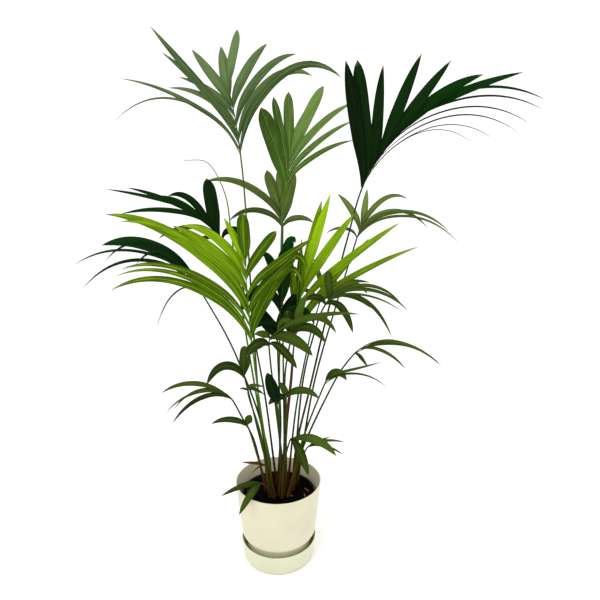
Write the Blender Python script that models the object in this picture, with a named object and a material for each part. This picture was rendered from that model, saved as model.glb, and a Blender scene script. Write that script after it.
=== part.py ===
"""A potted feather palm: a round planter in its saucer, and seedlings in a nursery pot.

Metres, +Z up. The origin is the centre of the saucer's underside, and the front is at -Y.
"""

from collections import namedtuple
from math import cos, pi, radians, sin

import bmesh
import bpy
import numpy as np

# Saucer
SAUCER_HEIGHT = 0.070
SAUCER_WALL = 0.0030
SAUCER_FLOOR = 0.0040
SAUCER_CORNER = 0.012
SAUCER_TAPER = 0.11  # how far the wall leans in, for each metre down
# Planter
PLANTER_HEIGHT = 0.2735
PLANTER_RIM_RADIUS = 0.1475
PLANTER_WALL = 0.0035
PLANTER_FLOOR = 0.0045
PLANTER_TAPER = 0.105
PLANTER_ROUNDING = 0.030  # the radius that turns the wall in at its lower edge
PLANTER_FOOT_INSET = 0.019  # from the leaning wall in to the foot that stands in the saucer
FOOT_CORNER = 0.006
# Nursery pot and soil
POT_WALL = 0.0012
POT_FLOOR = 0.0020
POT_LIP = 0.0030  # how far the rolled lip stands out
POT_LIP_HEIGHT = 0.010
POT_TAPER = 0.19
SOIL_DEPTH = 0.050  # from the planter's rim down to the soil
LIP_SHOWS = 0.002  # how far the pot's lip stands above the soil's edge
SOIL_CROWN = 0.006  # how much the soil rises in the middle
# Clearances
GAP = 0.0003  # between pieces that touch
SAUCER_CLEARANCE = 0.0168  # from the planter's foot to the inside of the saucer's rim
RIM_GAP = 0.0060  # from the saucer's rim up to the bottom of the planter's rounded edge
POT_CLEARANCE = 0.0105  # from the planter's inside to the nursery pot's lip
ROOT_CLEARANCE = 0.0012  # from the top of the soil to the foot of a stalk
# Palm
PALM_HEIGHT = 1.50  # from the soil to the highest leaf tip
STALK_RADIUS = 0.0037
RIB_TIP_RADIUS = 0.0009
CULM_RADIUS = 0.0070  # a seedling's stem, at the soil
LEAF_THICKNESS = 0.0014
LEAF_BREADTH = 1.0  # the leaflets' widths are multiplied by this

TURNED_SIDES = 64
STALK_SIDES = 5
CULM_SIDES = 8
LEAFLET_STEPS = 4
STALK_STEPS = 11
CULM_STEPS = 6
FINE = 121  # points on a frond's smooth route
ROOT_BUNCHING = 1.3  # above 1, more of a frond's leaflets start low on its rib
PLANNED_HEIGHT = 1.50  # the fronds below were planned for a palm of this height
GROWTH = PALM_HEIGHT / PLANNED_HEIGHT

PLANTER_BASE = SAUCER_FLOOR + GAP
PLANTER_TOP = PLANTER_BASE + PLANTER_HEIGHT
PLANTER_EDGE = SAUCER_HEIGHT + RIM_GAP
SOIL_TOP = PLANTER_TOP - SOIL_DEPTH

# name: (colour, roughness, metallic)
FINISHES = {
    "cream_plastic": ((0.83, 0.79, 0.63), 0.42, 0.0),
    "black_plastic": ((0.02, 0.02, 0.02), 0.5, 0.0),
    "soil": ((0.03, 0.018, 0.012), 0.95, 0.0),
    "culm": ((0.16, 0.07, 0.025), 0.8, 0.0),
    "deep": ((0.01, 0.04, 0.01), 0.4, 0.0),
    "dark": ((0.03, 0.08, 0.015), 0.4, 0.0),
    "mid": ((0.11, 0.20, 0.06), 0.4, 0.0),
    "fresh": ((0.16, 0.30, 0.06), 0.4, 0.0),
    "bright": ((0.22, 0.42, 0.02), 0.35, 0.0),
    "olive": ((0.16, 0.20, 0.09), 0.45, 0.0),
    "dry": ((0.20, 0.10, 0.04), 0.8, 0.0),
}

BLUNT, HOOKED = 1, 2
Frond = namedtuple("Frond", "name tone culm stalk rib left right turn tilt lift roll")

# Each frond is a stalk from the soil to the lowest leaflet, a rib from there to the tip, and the
# leaflets on each side of the rib. Points are (right, back, above the soil) in metres, and the
# first stretch of the stalk, up to the height called culm, is the seedling's stem, a piece of its
# own. The blade's face is turned to the right and tilted up by turn and tilt in degrees. A leaflet
# is (degrees from upright to the right, length in metres, droop, width in millimetres): with droop
# it bends down towards its tip. Some have a fifth value: BLUNT where the end is broad, HOOKED where
# it bends over only near its tip.
FRONDS = [
    Frond(
        "frond_top_left", "mid", 0.13,
        [(-0.025, 0, 0), (-0.034, 0.004, 0.130), (-0.067, 0.020, 0.337), (-0.100, 0.050, 0.939),
         (-0.113, 0.050, 1.124)],
        [(-0.136, 0.080, 1.269), (-0.159, 0.100, 1.347)],
        [(-46, 0.52, 1.35, 11), (-54, 0.47, 0.5, 17), (-41, 0.46, 0.05, 30), (-43, 0.36, 0.25, 24),
         (-50, 0.27, 0.7, 24), (-47, 0.23, 0.6, 26), (-38, 0.22, 0.1, 36), (-8, 0.15, 0, 40)],
        [(32, 0.47, 1.35, 28), (33, 0.35, 1.2, 30), (34, 0.30, 0.9, 32), (30, 0.22, 0.6, 34),
         (16, 0.18, 0.1, 32, BLUNT)],
        -15, 10, 12, (20, 10),
    ),
    Frond(
        "frond_top_middle", "fresh", 0,
        [(0.006, 0.040, 0), (0.002, 0.060, 0.317), (0.012, 0.120, 0.902), (0.027, 0.140, 1.037)],
        [(0.035, 0.150, 1.101), (0.041, 0.160, 1.165)],
        [(-20, 0.27, 0.1, 60, BLUNT), (-12, 0.26, 0.05, 30, BLUNT), (-1, 0.22, 0, 38, BLUNT)],
        [(50, 0.28, 0.55, 20), (44, 0.30, 0.5, 24), (37, 0.32, 0.6, 28), (27, 0.27, 0.1, 40, BLUNT),
         (22, 0.14, 0.1, 26)],
        5, 10, 12, (0, 0),
    ),
    Frond(
        "frond_top_right", "deep", 0.20,
        [(0.050, 0.022, 0), (0.066, 0.022, 0.170), (0.108, 0, 0.373), (0.156, -0.020, 0.602),
         (0.218, -0.030, 0.856), (0.264, -0.030, 1.025)],
        [(0.326, -0.020, 1.132), (0.408, 0, 1.237)],
        [(-17, 0.35, 0, 48), (-13, 0.33, 0.05, 44, BLUNT), (-1, 0.29, 0, 42), (17, 0.31, 0.1, 42),
         (32, 0.30, 0.2, 36), (45, 0.31, 0.5, 38), (62, 0.38, 0.3, 28)],
        [(38, 0.38, 1.3, 5), (46, 0.42, 1.25, 5), (51, 0.46, 1.2, 6), (56, 0.46, 1.1, 9),
         (60, 0.46, 0.95, 12), (63, 0.43, 0.9, 13)],
        10, 0, 12, (0, 55),
    ),
    Frond(
        "frond_front_left", "bright", 0,
        [(-0.016, -0.022, 0), (-0.051, -0.040, 0.284), (-0.075, -0.080, 0.552)],
        [(-0.082, -0.120, 0.731), (-0.081, -0.160, 0.829)],
        [(-48, 0.52, 1.1, 26), (-47, 0.50, 1.0, 18), (-48, 0.47, 0.95, 22), (-42, 0.55, 0.75, 38),
         (-43, 0.48, 0.8, 26), (-42, 0.30, 0.5, 36), (-34, 0.26, 0.9, 30), (-22, 0.15, 0.3, 26)],
        [(30, 0.32, 3.2, 36, HOOKED), (33, 0.34, 3.6, 40, HOOKED), (40, 0.24, 0.3, 36, BLUNT),
         (52, 0.27, 0.15, 28), (34, 0.17, 0.3, 30, BLUNT), (-2, 0.13, 0.1, 38, BLUNT)],
        -10, 10, 12, (0, 0),
    ),
    Frond(
        "frond_left", "deep", 0,
        [(-0.040, 0.012, 0), (-0.058, 0.020, 0.229), (-0.126, 0.050, 0.422), (-0.179, 0.050, 0.550),
         (-0.251, 0.040, 0.690)],
        [(-0.285, 0.050, 0.751)],
        [(-88, 0.25, 3.0, 6), (-62, 0.50, 1.4, 14), (-62, 0.50, 1.0, 12), (-52, 0.37, 0.9, 46)],
        [(-36, 0.40, 1.5, 14), (-40, 0.24, 1.6, 14)],
        -25, 0, 12, (0, 0),
    ),
    Frond(
        "frond_back_left", "deep", 0,
        [(-0.008, 0.032, 0), (-0.061, 0.100, 0.372), (-0.150, 0.170, 0.771), (-0.200, 0.200, 0.851)],
        [(-0.300, 0.230, 0.951)],
        [(-80, 0.15, 1.0, 16), (-80, 0.24, 0.9, 20), (-78, 0.34, 0.5, 22)],
        [(66, 0.16, 1.5, 30), (-7, 0.21, 0.05, 56, BLUNT), (-28, 0.24, 1.1, 32), (-47, 0.28, 0.9, 25),
         (-64, 0.33, 0.3, 20), (-76, 0.38, 0.15, 16)],
        -20, 10, 12, (0, 0),
    ),
    Frond(
        "frond_back", "olive", 0,
        [(0.020, 0.054, 0), (0.015, 0.120, 0.371), (0.010, 0.200, 0.721), (0.012, 0.240, 0.901)],
        [(0.010, 0.270, 0.951)],
        [(-55, 0.24, 1.4, 24), (-44, 0.37, 1.0, 30), (-20, 0.19, 0, 46, BLUNT)],
        [(62, 0.13, 1.2, 24), (14, 0.19, 0, 50, BLUNT), (-3, 0.18, 0, 42, BLUNT)],
        0, 20, 12, (0, 0),
    ),
    Frond(
        "frond_front_right", "bright", 0.46,
        [(0.015, 0.015, 0), (0.026, 0.020, 0.208), (0.044, 0.020, 0.390), (0.056, -0.020, 0.540)],
        [(0.066, -0.045, 0.640), (0.088, -0.080, 0.756)],
        [(4, 0.34, 0, 26), (-6, 0.26, 0.05, 26), (12, 0.30, 0, 34)],
        [(36, 0.40, 0.1, 28), (52, 0.46, 0.3, 24), (46, 0.42, 0.2, 28), (32, 0.31, 0.1, 34),
         (17, 0.27, 0, 32)],
        0, 0, 12, (0, 0),
    ),
    Frond(
        "frond_right", "olive", 0,
        [(0.064, 0.038, 0), (0.120, 0.050, 0.354), (0.192, 0.040, 0.636), (0.259, 0.030, 0.872)],
        [(0.275, 0.040, 0.911)],
        [(-60, 0.12, 1.2, 12), (-30, 0.14, 0.5, 24)],
        [(66, 0.36, 1.4, 10), (60, 0.33, 1.4, 14), (52, 0.26, 1.6, 16), (30, 0.20, 1.2, 20),
         (5, 0.12, 0.2, 24)],
        0, 10, 12, (0, 0),
    ),
    Frond(
        "frond_right_middle", "dark", 0,
        [(0.050, -0.004, 0), (0.081, -0.060, 0.396), (0.124, -0.100, 0.608), (0.150, -0.118, 0.680)],
        [(0.168, -0.120, 0.705)],
        [(-50, 0.08, 1.5, 22), (-4, 0.09, 0.1, 28, BLUNT)],
        [(100, 0.14, 4.0, 26), (80, 0.27, 2.6, 15), (86, 0.24, 0.9, 8), (76, 0.27, 1.3, 13),
         (66, 0.25, 1.5, 13), (45, 0.14, 1.8, 20)],
        10, 20, 12, (0, 0),
    ),
    Frond(
        "frond_right_low", "dark", 0,
        [(0.040, -0.022, 0), (0.085, -0.040, 0.181), (0.183, -0.080, 0.424), (0.239, -0.100, 0.519)],
        [(0.280, -0.100, 0.553)],
        [(84, 0.26, 0.8, 5), (90, 0.28, 1.0, 12)],
        [(150, 0.06, 0.6, 16), (104, 0.17, 1.2, 13), (98, 0.27, 1.0, 12)],
        20, 30, 12, (0, 0),
    ),
    Frond(
        "young_right", "dark", 0,
        [(0.032, -0.040, 0), (0.085, -0.062, 0.223), (0.149, -0.120, 0.429)],
        [(0.165, -0.130, 0.461)],
        [(80, 0.23, 1.2, 8), (88, 0.18, -0.1, 10)],
        [(50, 0.10, 2.2, 28)],
        20, 30, 12, (0, 0),
    ),
    Frond(
        "young_left", "dark", 0,
        [(-0.044, -0.010, 0), (-0.074, -0.050, 0.200), (-0.108, -0.085, 0.303),
         (-0.139, -0.100, 0.375)],
        [(-0.170, -0.110, 0.409)],
        [(-98, 0.24, 1.6, 18), (-92, 0.24, 1.3, 11), (-80, 0.23, 1.0, 18)],
        [(-84, 0.22, 1.7, 12)],
        -20, 30, 12, (0, 0),
    ),
    Frond(
        "frond_back_right", "dark", 0,
        [(0.032, 0.046, 0), (0.060, 0.110, 0.250), (0.110, 0.170, 0.500), (0.145, 0.200, 0.620)],
        [(0.170, 0.220, 0.670)],
        [(-50, 0.15, 0.8, 20), (-15, 0.15, 0.3, 24)],
        [(80, 0.22, 1.2, 16), (60, 0.20, 0.8, 20), (30, 0.15, 0.4, 22)],
        10, 20, 12, (0, 0),
    ),
    Frond(
        "pair_left_middle", "dark", 0,
        [(-0.010, -0.036, 0), (-0.054, -0.050, 0.203), (-0.082, -0.060, 0.341),
         (-0.100, -0.070, 0.430)],
        [(-0.104, -0.078, 0.462)],
        [(-42, 0.17, 2.4, 30)],
        [(4, 0.10, 0.1, 38, BLUNT)],
        0, 10, 12, (0, 0),
    ),
    Frond(
        "pair_left_low", "dark", 0,
        [(-0.032, -0.026, 0), (-0.055, -0.050, 0.110), (-0.090, -0.090, 0.275)],
        [(-0.104, -0.092, 0.290)],
        [(-66, 0.13, 1.0, 22)],
        [(20, 0.04, 0.3, 28)],
        -10, 10, 12, (0, 0),
    ),
    Frond(
        "young_left_inner", "dark", 0,
        [(-0.028, -0.044, 0), (-0.050, -0.067, 0.223), (-0.081, -0.112, 0.376),
         (-0.086, -0.118, 0.410)],
        [(-0.088, -0.120, 0.420)],
        [(-60, 0.03, 1.0, 8)],
        [(95, 0.06, 0.8, 12), (80, 0.06, 0.6, 12)],
        0, 20, 12, (0, 0),
    ),
    Frond(
        "young_centre_high", "dark", 0,
        [(0.010, -0.012, 0), (0.017, -0.030, 0.098), (-0.001, -0.100, 0.346), (-0.015, -0.170, 0.568)],
        [(0.000, -0.184, 0.606)],
        [(-75, 0.09, 2.6, 34), (-60, 0.05, 0.9, 24)],
        [(125, 0.12, 0.8, 28), (92, 0.15, 1.3, 36), (68, 0.26, 0.55, 18)],
        0, 20, 12, (0, 0),
    ),
    Frond(
        "frond_centre", "deep", 0,
        [(-0.004, 0.004, 0), (0.010, -0.020, 0.250), (0.006, -0.040, 0.420), (0.004, -0.060, 0.550)],
        [(0.014, -0.082, 0.640), (0.022, -0.098, 0.710), (0.022, -0.106, 0.760)],
        [(-36, 0.15, 0.1, 46), (-58, 0.11, 1.8, 26), (-30, 0.20, 2.4, 34),
         (-24, 0.15, 2.4, 34, HOOKED)],
        [(24, 0.15, 0.1, 46), (44, 0.15, 2.2, 28), (4, 0.17, 0.1, 46, BLUNT),
         (12, 0.15, 2.4, 40, HOOKED)],
        0, 15, 12, (0, 0),
    ),
    Frond(
        "young_centre_top", "dark", 0,
        [(0.030, 0.002, 0), (0.027, -0.030, 0.120), (0.026, -0.082, 0.300), (0.030, -0.125, 0.470),
         (0.050, -0.140, 0.590)],
        [(0.060, -0.144, 0.620)],
        [(-12, 0.075, 0.1, 38, BLUNT), (-30, 0.08, 2.4, 22)],
        [(62, 0.13, 2.3, 30), (48, 0.17, 2.1, 26), (14, 0.11, 0.8, 26)],
        5, 20, 12, (0, 0),
    ),
    Frond(
        "leaf_centre", "deep", 0,
        [(0.002, -0.032, 0), (0.011, -0.050, 0.110), (0.010, -0.110, 0.260), (0.006, -0.160, 0.380)],
        [(0.002, -0.172, 0.405)],
        [(-15, 0.11, 0.2, 40)],
        [],
        0, 10, 12, (0, 0),
    ),
    Frond(
        "young_centre_low", "dark", 0,
        [(0.022, -0.030, 0), (0.028, -0.040, 0.104), (0.030, -0.080, 0.268), (0.032, -0.115, 0.380)],
        [(0.036, -0.128, 0.400)],
        [(-70, 0.07, 2.0, 26), (-20, 0.05, 0.5, 24)],
        [(62, 0.12, 1.5, 26)],
        0, 20, 12, (0, 0),
    ),
    Frond(
        "pair_front", "dark", 0,
        [(0.014, -0.048, 0), (0.020, -0.060, 0.120), (0.042, -0.095, 0.232)],
        [(0.052, -0.103, 0.244)],
        [],
        [(150, 0.13, 0.8, 32), (82, 0.16, 1.5, 30)],
        0, 20, 12, (0, 0),
    ),
    Frond(
        "young_right_low", "dark", 0,
        [(0.056, 0.050, 0), (0.070, 0.058, 0.060), (0.098, 0.077, 0.112)],
        [(0.112, 0.083, 0.124)],
        [(60, 0.10, 0.3, 10)],
        [(88, 0.14, 0.8, 12), (76, 0.13, 0.5, 12)],
        0, 20, 12, (0, 0),
    ),
    Frond(
        "pair_over_rim", "dark", 0,
        [(-0.016, -0.045, 0), (-0.030, -0.056, 0.036), (-0.048, -0.075, 0.070)],
        [(-0.056, -0.083, 0.077)],
        [(-102, 0.145, 0.7, 26)],
        [(-148, 0.13, 0.7, 28)],
        0, 60, 12, (0, 0),
    ),
    Frond(
        "dried_leaf", "dry", 0,
        [(-0.040, 0.030, 0), (-0.040, 0.029, 0.044), (-0.046, 0.024, 0.075)],
        [(-0.055, 0.018, 0.085)],
        [(-100, 0.06, 1.2, 6)],
        [(-78, 0.085, 0.1, 12)],
        0, 10, 12, (0, 0),
    ),
    Frond(
        "spear", "bright", 0,
        [(-0.026, 0.024, 0), (-0.126, 0.050, 0.671), (-0.152, 0.060, 0.894)],
        [(-0.170, 0.070, 1.013), (-0.224, 0.080, 1.112), (-0.305, 0.090, 1.123)],
        [],
        [],
        0, 0, 0, (0, 0),
    ),
]


def unit(vector):
    return vector / np.linalg.norm(vector)


def smooth_route(points, count):
    """Evenly spaced points on a smooth curve through the points given."""
    given = np.asarray(points, float)
    ends = np.vstack([2 * given[0] - given[1], given, 2 * given[-1] - given[-2]])
    fine = []
    for before, start, stop, after in zip(ends, ends[1:], ends[2:], ends[3:]):
        for t in np.linspace(0, 1, 24, endpoint=False):
            straight = 2 * start + (stop - before) * t
            bend = (2 * before - 5 * start + 4 * stop - after) * t**2
            fine.append((straight + bend + (3 * start - before - 3 * stop + after) * t**3) / 2)
    fine = np.array(fine + [given[-1]])
    along = np.r_[0, np.cumsum(np.linalg.norm(np.diff(fine, axis=0), axis=1))]
    wanted = np.linspace(0, along[-1], count)
    return np.column_stack([np.interp(wanted, along, fine[:, axis]) for axis in range(3)])


def grown(points):
    """Planned points as places in the model, measured from the middle of the soil."""
    return np.asarray(points, float) * GROWTH + (0, 0, SOIL_TOP + SOIL_CROWN + ROOT_CLEARANCE)


def blade_axes(frond):
    """The blade's outward face, and its upright and rightward directions."""
    turn, tilt = radians(frond.turn), radians(frond.tilt)
    face = np.array([sin(turn) * cos(tilt), -cos(turn) * cos(tilt), sin(tilt)])
    upright = unit(np.array([0, 0, 1]) - face[2] * face)
    return face, upright, np.cross(upright, face)


def leaflet_line(root, start, leaflet, frond, steps):
    """A leaflet's middle line. It sets off along the rib, opens to its heading, then droops."""
    heading, length, droop = leaflet[:3]
    face, upright, right = blade_axes(frond)
    turn, lift = radians(heading), radians(frond.lift)
    aim = cos(lift) * (cos(turn) * upright + sin(turn) * right) + sin(lift) * face
    points = [root]
    late = 7 if HOOKED in leaflet[4:] else 1.5
    for step in range(steps):
        t = (step + 0.5) / steps
        opened = min(1, 3 * t)
        way = unit(start * 0.6 * (1 - opened) + aim * (0.4 + 0.6 * opened))
        way = unit(way - np.array([0, 0, droop * t**late]))
        points.append(points[-1] + way * length * GROWTH / steps)
    return np.array(points)


def leaflet_width(t, leaflet):
    """Narrow at the root, widest at the middle, then a taper that is late on broad leaflets."""
    opening = 0.22 + 0.78 * sin(min(1, 2.3 * t) * pi / 2)
    late = 9 if BLUNT in leaflet[4:] else 2.2 + leaflet[3] / 16
    return leaflet[3] / 1000 * LEAF_BREADTH * GROWTH * opening * (1 - t**late) ** 0.9


def rings_to_mesh(rings, tip):
    """A bmesh tube through equal rings of points, closed by an end face and a tip.

    Its sides are split so that a thin leaflet's upper and lower skins never cross where it twists.
    """
    mesh = bmesh.new()
    made = [[mesh.verts.new(point) for point in ring] for ring in rings]
    sides = len(made[0])
    for low, high in zip(made, made[1:]):
        for i in range(sides):
            j = (i + 1) % sides
            near, far = (low[i], high[j]) if i % 2 == 0 else (low[j], high[i])
            mesh.faces.new((low[i], low[j], far))
            mesh.faces.new((near, high[j], high[i]))
    mesh.faces.new(made[0][::-1])
    if tip is None:
        mesh.faces.new(made[-1])
    else:
        point = mesh.verts.new(tip)
        for i in range(sides):
            mesh.faces.new((made[-1][i], made[-1][(i + 1) % sides], point))
    if mesh.calc_volume(signed=True) < 0:
        bmesh.ops.reverse_faces(mesh, faces=mesh.faces)
    return mesh


def tube_mesh(line, radii, sides):
    """A round tube along a line, with a radius at each point."""
    ahead = np.gradient(line, axis=0)
    side = unit(np.cross(ahead[0], (0.3, 1, 0)))
    rings = []
    for point, way, radius in zip(line, ahead, radii):
        side = unit(side - unit(way) * np.dot(side, unit(way)))
        other = np.cross(unit(way), side)
        angles = [2 * pi * i / sides for i in range(sides)]
        rings.append([point + radius * (cos(a) * side + sin(a) * other) for a in angles])
    return rings_to_mesh(rings, None)


def leaflet_mesh(line, leaflet, frond, side_roll):
    """A leaflet as a long thin blade: two edges, a ridge over its middle line and a keel under it."""
    face = blade_axes(frond)[0]
    roll = radians(side_roll)
    rings = []
    last = len(line) - 1
    for i, point in enumerate(line[:-1]):
        way = unit(line[i + 1] - line[max(i - 1, 0)])
        across = unit(np.cross(face, way))
        out = np.cross(way, across)
        bend = unit(line[i + 1] - point) - unit(point - line[i - 1]) if i else np.zeros(3)
        step = np.linalg.norm(line[i + 1] - point)
        half = min(leaflet_width(i / last, leaflet) / 2, 0.8 * step / max(abs(bend @ across), 0.01))
        edge = half * (cos(roll) * across + sin(roll) * out)
        keel = LEAF_THICKNESS * GROWTH * (sin(roll) * across - cos(roll) * out)
        rings.append([point + edge, point - 0.2 * keel, point - edge, point + keel])
    return rings_to_mesh(rings, line[-1])


def material(name):
    """The named finish, made the first time it is asked for."""
    found = bpy.data.materials.get(name)
    if found:
        return found
    made = bpy.data.materials.new(name)
    made.use_nodes = True
    colour, roughness, metallic = FINISHES[name]
    shader = made.node_tree.nodes["Principled BSDF"]
    shader.inputs["Base Color"].default_value = (*colour, 1)
    shader.inputs["Roughness"].default_value = roughness
    shader.inputs["Metallic"].default_value = metallic
    return made


def finish_object(name, mesh, finish, sharp=35):
    """Makes an object of a bmesh, smooth except at its sharp edges."""
    data = bpy.data.meshes.new(name)
    mesh.to_mesh(data)
    mesh.free()
    data.shade_smooth()
    data.set_sharp_from_angle(angle=radians(sharp))
    data.materials.append(material(finish))
    made = bpy.data.objects.new(name, data)
    bpy.context.scene.collection.objects.link(made)
    return made


def join(body, part):
    """Unites an object with another that overlaps it, and removes that one."""
    union = body.modifiers.new("part", "BOOLEAN")
    union.operation = "UNION"
    union.solver = "EXACT"
    union.object = part
    graph = bpy.context.evaluated_depsgraph_get()
    whole = bpy.data.meshes.new_from_object(body.evaluated_get(graph))
    body.modifiers.clear()
    body.data = whole
    bpy.data.objects.remove(part)


def fill_pockets(body):
    """Removes the inner walls of any pocket that leaflets close off between them."""
    mesh = bmesh.new()
    mesh.from_mesh(body.data)
    waiting = set(mesh.faces)
    while waiting:
        shell = [waiting.pop()]
        for face in shell:
            edges = [edge for edge in face.edges if len(edge.link_faces) == 2]
            for near in {other for edge in edges for other in edge.link_faces} & waiting:
                waiting.remove(near)
                shell.append(near)
        if sum(face.calc_center_median().dot(face.normal) * face.calc_area() for face in shell) < 0:
            bmesh.ops.delete(mesh, geom=shell, context="FACES")
    mesh.to_mesh(body.data)
    mesh.free()


def make_frond(frond):
    """One frond: a tapering stalk and rib, with its leaflets joined on."""
    line = smooth_route(grown(frond.stalk + frond.rib), FINE)
    heights = line[:, 2] - line[0, 2]
    first = int((heights < frond.culm * GROWTH).sum())
    if first:
        make_culm(frond.name.replace("frond", "culm"), line[: first + 1], frond.tone)
        line = line[first:]
        line[0] += unit(line[1] - line[0]) * 2 * GAP
    lowest = int(np.linalg.norm(line - grown(frond.stalk)[-1], axis=1).argmin())
    rib = line[lowest:]
    places = np.linspace(0, len(line) - 1, STALK_STEPS)
    rough = np.column_stack([np.interp(places, range(len(line)), line[:, axis]) for axis in range(3)])
    thick = GROWTH * np.array((STALK_RADIUS, 0.65 * STALK_RADIUS, RIB_TIP_RADIUS))
    radii = np.interp(places, (0, lowest, len(line) - 1), thick)
    stalk = finish_object(frond.name, tube_mesh(rough, radii, STALK_SIDES), frond.tone, 60)
    for side, leaflets in enumerate((frond.left, frond.right)):
        for i, leaflet in enumerate(leaflets):
            share = (i + 0.5 * side) / max(len(leaflets) - 0.5, 1)
            place = (0.02 + 0.94 * share**ROOT_BUNCHING) * (len(rib) - 1)
            near = min(int(place), len(rib) - 2)
            start = unit(rib[near + 1] - rib[near])
            root = on_polyline(rough, rib[near] + (rib[near + 1] - rib[near]) * (place - near))
            middle = leaflet_line(root, start, leaflet, frond, LEAFLET_STEPS)
            blade = leaflet_mesh(middle, leaflet, frond, frond.roll[side])
            join(stalk, finish_object("leaflet", blade, frond.tone, 60))
    fill_pockets(stalk)


def make_culm(name, line, tone):
    """The stem of a seedling, up to where its main frond goes on from it."""
    steps = np.linspace(0, len(line) - 1, CULM_STEPS)
    rough = np.column_stack([np.interp(steps, range(len(line)), line[:, axis]) for axis in range(3)])
    radii = np.linspace(CULM_RADIUS, STALK_RADIUS * 1.15, CULM_STEPS) * GROWTH
    finish_object(name, tube_mesh(rough, radii, CULM_SIDES), "culm" if tone != "deep" else "dark")


def on_polyline(corners, wanted):
    """The point of a line of straight stretches that is nearest to the point wanted."""
    found = []
    for start, stop in zip(corners, corners[1:]):
        share = np.dot(wanted - start, stop - start) / np.dot(stop - start, stop - start)
        found.append(start + (stop - start) * np.clip(share, 0, 1))
    return min(found, key=lambda point: np.linalg.norm(point - wanted))


def arc(centre, radius, begin, end, steps):
    """Points (r, z) along an arc, with its angles in degrees from the outward direction."""
    angles = np.radians(np.linspace(begin, end, steps + 1))
    return [(centre[0] + radius * cos(a), centre[1] + radius * sin(a)) for a in angles]


def turned(name, outline, finish):
    """A solid turned about the Z axis from an outline that starts and ends on it."""
    mesh = bmesh.new()
    corners = [mesh.verts.new((max(r, 0), 0, z)) for r, z in outline]
    edges = [mesh.edges.new(pair) for pair in zip(corners, corners[1:])]
    bmesh.ops.spin(
        mesh,
        geom=corners + edges,
        cent=(0, 0, 0),
        axis=(0, 0, 1),
        angle=2 * pi,
        steps=TURNED_SIDES,
        use_merge=False,
    )
    bmesh.ops.remove_doubles(mesh, verts=mesh.verts, dist=1e-5)
    bmesh.ops.recalc_face_normals(mesh, faces=mesh.faces)
    return finish_object(name, mesh, finish)


def planter_radius(z):
    """The outside radius of the planter's leaning wall at a height."""
    return PLANTER_RIM_RADIUS - (PLANTER_TOP - z) * PLANTER_TAPER


def foot_radius():
    """The outside radius of the planter's foot."""
    return planter_radius(PLANTER_EDGE + PLANTER_ROUNDING) - PLANTER_FOOT_INSET


def planter_side(inward):
    """The planter's side from foot to rim, as (r, z), moved inward by a wall's thickness."""
    middle_z = PLANTER_EDGE + PLANTER_ROUNDING
    middle_r = planter_radius(middle_z) - PLANTER_ROUNDING
    rounding = PLANTER_ROUNDING - inward
    turn_in = -np.degrees(np.arccos((foot_radius() - inward - middle_r) / rounding))
    side = arc((middle_r, middle_z), rounding, turn_in, 0, 7)
    return side + [(PLANTER_RIM_RADIUS - inward, PLANTER_TOP)]


def make_planter():
    """The planter: a leaning wall, a rounded lower edge, and a foot that stands in the saucer."""
    floor = PLANTER_BASE + PLANTER_FLOOR
    foot = (foot_radius() - FOOT_CORNER, PLANTER_BASE + FOOT_CORNER)
    inner_corner = (foot[0] - PLANTER_WALL, floor + FOOT_CORNER)
    outline = [(0, PLANTER_BASE)]
    outline += arc(foot, FOOT_CORNER, -90, 0, 3)
    outline += planter_side(0)
    outline += planter_side(PLANTER_WALL)[::-1]
    outline += arc(inner_corner, FOOT_CORNER, 0, -90, 3)
    outline += [(0, floor)]
    turned("planter", outline, "cream_plastic")


def make_saucer():
    """The saucer: a deep round dish with a rounded corner, open around the planter's foot."""
    rim = foot_radius() + SAUCER_CLEARANCE
    foot = rim + SAUCER_WALL - SAUCER_HEIGHT * SAUCER_TAPER
    corner = (foot - SAUCER_CORNER, SAUCER_CORNER)
    inner_round = SAUCER_CORNER - SAUCER_WALL
    inner_corner = (foot - SAUCER_WALL - inner_round, SAUCER_FLOOR + inner_round)
    outline = [(0, 0)]
    outline += arc(corner, SAUCER_CORNER, -90, 0, 4)
    outline += [(rim + SAUCER_WALL, SAUCER_HEIGHT), (rim, SAUCER_HEIGHT)]
    outline += arc(inner_corner, inner_round, 0, -90, 3)
    outline += [(0, SAUCER_FLOOR)]
    turned("saucer", outline, "cream_plastic")


def pot_radius(z):
    """The inside radius of the nursery pot at a height."""
    lip_z = SOIL_TOP + LIP_SHOWS
    lip = planter_radius(lip_z) - PLANTER_WALL - POT_CLEARANCE
    return lip - POT_LIP - POT_WALL - (lip_z - z) * POT_TAPER


def make_nursery_pot():
    """The growing pot: a thin leaning wall with a rolled lip, on the planter's floor."""
    base = PLANTER_BASE + PLANTER_FLOOR + GAP
    top = SOIL_TOP + LIP_SHOWS
    under = top - POT_LIP_HEIGHT
    outline = [
        (0, base),
        (pot_radius(base) + POT_WALL, base),
        (pot_radius(under) + POT_WALL, under),
        (pot_radius(top) + POT_WALL + POT_LIP, under),
        (pot_radius(top) + POT_WALL + POT_LIP, top),
        (pot_radius(top), top),
        (pot_radius(base + POT_FLOOR), base + POT_FLOOR),
        (0, base + POT_FLOOR),
    ]
    turned("nursery_pot", outline, "black_plastic")


def make_soil():
    """The root ball's soil, which fills the nursery pot and rises a little in the middle."""
    base = PLANTER_BASE + PLANTER_FLOOR + POT_FLOOR + 2 * GAP
    edge = pot_radius(SOIL_TOP) - GAP
    crown = [(edge * cos(a), SOIL_TOP + SOIL_CROWN * sin(a)) for a in np.linspace(0, pi / 2, 5)[1:-1]]
    outline = [(0, base), (pot_radius(base) - GAP, base), (edge, SOIL_TOP)]
    outline += crown + [(0, SOIL_TOP + SOIL_CROWN)]
    turned("soil", outline, "soil")


def main():
    for old in list(bpy.data.objects):
        bpy.data.objects.remove(old)
    make_saucer()
    make_planter()
    make_nursery_pot()
    make_soil()
    for frond in FRONDS:
        make_frond(frond)


main()
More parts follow.
